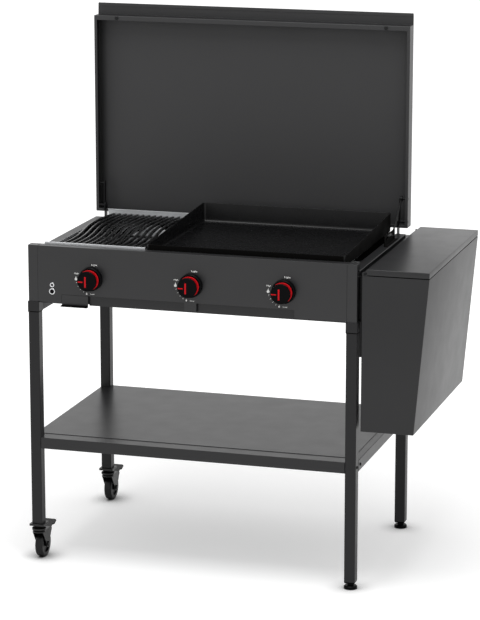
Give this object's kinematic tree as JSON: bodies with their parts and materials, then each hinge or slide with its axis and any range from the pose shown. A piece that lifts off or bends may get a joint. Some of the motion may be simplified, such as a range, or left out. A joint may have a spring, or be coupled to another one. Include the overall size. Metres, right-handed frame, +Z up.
{
  "type": "gas grill",
  "caption": "Gas grill cart with a wavy grate beside a flat griddle, swing-up pan lid with a stay, turning control knobs, grease tray, lower shelf, casters and a hung side box.",
  "frame": {"origin": "on the floor, under the middle of the whole object's box", "axes": "+X to the cook's right, +Y from the control panel to the back, +Z up"},
  "size_m": [1.114, 0.7174, 1.4758],
  "materials": {
    "anthracite_coat": "satin powder coat",
    "galvanised_steel": "dull zinc",
    "stainless_steel": "brushed",
    "black_enamel": "gloss enamel",
    "black_coat": "satin",
    "brass": "machined",
    "black_plastic": "fine matt",
    "red_plastic": "gloss",
    "chrome": "polished",
    "ceramic": "glazed",
    "black_rubber": "matt",
    "tread": "matt"
  },
  "bodies": {
    "cart": {"burner_tubes": "stainless_steel", "button_bezels": "chrome", "caster_mounts": "black_coat", "corner_posts": "anthracite_coat", "cross_bars": "galvanised_steel", "drip_pan": "galvanised_steel", "front_panel": "anthracite_coat", "gas_manifold": "galvanised_steel", "heat_shield": "anthracite_coat", "heat_tent": "stainless_steel", "hinge_brackets": "black_coat", "igniter_electrodes": "ceramic", "igniter_module": "black_plastic", "knob_bezels": "black_plastic", "left_side_panel": "anthracite_coat", "leg_front_left": "anthracite_coat", "leg_front_right": "anthracite_coat", "leg_plugs": "black_plastic", "leg_rear_left": "anthracite_coat", "leg_rear_right": "anthracite_coat", "leg_sleeves": "anthracite_coat", "rear_panel": "anthracite_coat", "right_side_panel": "anthracite_coat", "shelf_panel": "anthracite_coat", "shelf_rails": "anthracite_coat", "shelf_screws": "black_coat", "side_box_body": "anthracite_coat", "side_box_hangers": "black_coat", "side_box_pins": "black_coat", "stay_guide": "black_coat", "valve_bodies": "brass"},
    "lid": {"lid_shell": "anthracite_coat", "lid_bumpers": "black_rubber", "lid_arms": "black_coat"},
    "stay": {"lid_stay": "black_coat"},
    "tray": {"grease_tray": "black_coat"},
    "box_lid": {"side_box_lid": "anthracite_coat"},
    "grate_set": {"grate": "black_enamel", "grate_frame": "stainless_steel"},
    "griddle_plate": {"griddle": "black_enamel"},
    "ignition": {"igniter_button": "black_plastic"},
    "valve_left": {"valve_plug_left": "brass"},
    "control_left": {"knob_left": "black_plastic", "knob_ring_left": "red_plastic"},
    "valve_middle": {"valve_plug_middle": "brass"},
    "control_middle": {"knob_middle": "black_plastic", "knob_ring_middle": "red_plastic"},
    "valve_right": {"valve_plug_right": "brass"},
    "control_right": {"knob_right": "black_plastic", "knob_ring_right": "red_plastic"},
    "foot_front": {"levelling_foot_front": "black_plastic"},
    "caster_front": {"caster_fork_front": "black_coat", "caster_axle_front": "black_coat"},
    "wheel_front": {"caster_wheel_front": "tread"},
    "brake_front": {"caster_pedal_front": "black_plastic"},
    "foot_rear": {"levelling_foot_rear": "black_plastic"},
    "caster_rear": {"caster_fork_rear": "black_coat", "caster_axle_rear": "black_coat"},
    "wheel_rear": {"caster_wheel_rear": "tread"},
    "brake_rear": {"caster_pedal_rear": "black_plastic"}
  },
  "joints": [
    {"name": "lid_hinge", "type": "hinge", "parent": "cart", "child": "lid", "pos_m": [-0.092, 0.24072, 0.8973], "axis": [1, 0, 0], "range_deg": [0, 90]},
    {"name": "stay_swing", "type": "hinge", "parent": "lid", "child": "stay", "pos_m": [0.3477, 0.24422, 0.9613], "axis": [1, 0, 0], "range_deg": [-122, 0]},
    {"name": "tray_slide", "type": "slide", "parent": "cart", "child": "tray", "axis": [0, -1, 0], "range_m": [0, 0.35]},
    {"name": "box_lid_hinge", "type": "hinge", "parent": "cart", "child": "box_lid", "pos_m": [0.386, -0.02048, 0.8643], "axis": [0, -1, 0], "range_deg": [0, 88]},
    {"name": "grate_lift", "type": "slide", "parent": "cart", "child": "grate_set", "axis": [0, 0, 1], "range_m": [0, 0.08]},
    {"name": "griddle_lift", "type": "slide", "parent": "cart", "child": "griddle_plate", "axis": [0, 0, 1], "range_m": [0, 0.08]},
    {"name": "igniter_push", "type": "slide", "parent": "cart", "child": "ignition", "axis": [0, 1, 0], "range_m": [0, 0.003], "stiffness_N_per_m": 500},
    {"name": "valve_turn_left", "type": "hinge", "parent": "cart", "child": "valve_left", "pos_m": [-0.3693, -0.28048, 0.805], "axis": [0, -1, 0], "range_deg": [-90, 90]},
    {"name": "knob_push_left", "type": "slide", "parent": "valve_left", "child": "control_left", "axis": [0, 1, 0], "range_m": [0, 0.003], "stiffness_N_per_m": 600},
    {"name": "valve_turn_middle", "type": "hinge", "parent": "cart", "child": "valve_middle", "pos_m": [-0.0883, -0.28048, 0.805], "axis": [0, -1, 0], "range_deg": [-90, 90]},
    {"name": "knob_push_middle", "type": "slide", "parent": "valve_middle", "child": "control_middle", "axis": [0, 1, 0], "range_m": [0, 0.003], "stiffness_N_per_m": 600},
    {"name": "valve_turn_right", "type": "hinge", "parent": "cart", "child": "valve_right", "pos_m": [0.1683, -0.28048, 0.805], "axis": [0, -1, 0], "range_deg": [-90, 90]},
    {"name": "knob_push_right", "type": "slide", "parent": "valve_right", "child": "control_right", "axis": [0, 1, 0], "range_m": [0, 0.003], "stiffness_N_per_m": 600},
    {"name": "foot_screw_front", "type": "slide", "parent": "cart", "child": "foot_front", "axis": [0, 0, -1], "range_m": [0, 0.012]},
    {"name": "caster_swivel_front", "type": "hinge", "parent": "cart", "child": "caster_front", "pos_m": [-0.536, -0.30548, 0.08], "axis": [0, 0, 1], "continuous": true},
    {"name": "wheel_spin_front", "type": "hinge", "parent": "caster_front", "child": "wheel_front", "pos_m": [-0.536, -0.27748, 0.0365], "axis": [1, 0, 0], "continuous": true},
    {"name": "brake_press_front", "type": "hinge", "parent": "caster_front", "child": "brake_front", "pos_m": [-0.536, -0.25348, 0.073], "axis": [-1, 0, 0], "range_deg": [0, 18]},
    {"name": "foot_screw_rear", "type": "slide", "parent": "cart", "child": "foot_rear", "axis": [0, 0, -1], "range_m": [0, 0.012]},
    {"name": "caster_swivel_rear", "type": "hinge", "parent": "cart", "child": "caster_rear", "pos_m": [-0.536, 0.26652, 0.08], "axis": [0, 0, 1], "continuous": true},
    {"name": "wheel_spin_rear", "type": "hinge", "parent": "caster_rear", "child": "wheel_rear", "pos_m": [-0.536, 0.29452, 0.0365], "axis": [1, 0, 0], "continuous": true},
    {"name": "brake_press_rear", "type": "hinge", "parent": "caster_rear", "child": "brake_rear", "pos_m": [-0.536, 0.31852, 0.073], "axis": [-1, 0, 0], "range_deg": [0, 18]}
  ],
  "couplings": [
    {"joint": "stay_swing", "follows": "lid_hinge", "ratio": -1.3111}
  ]
}
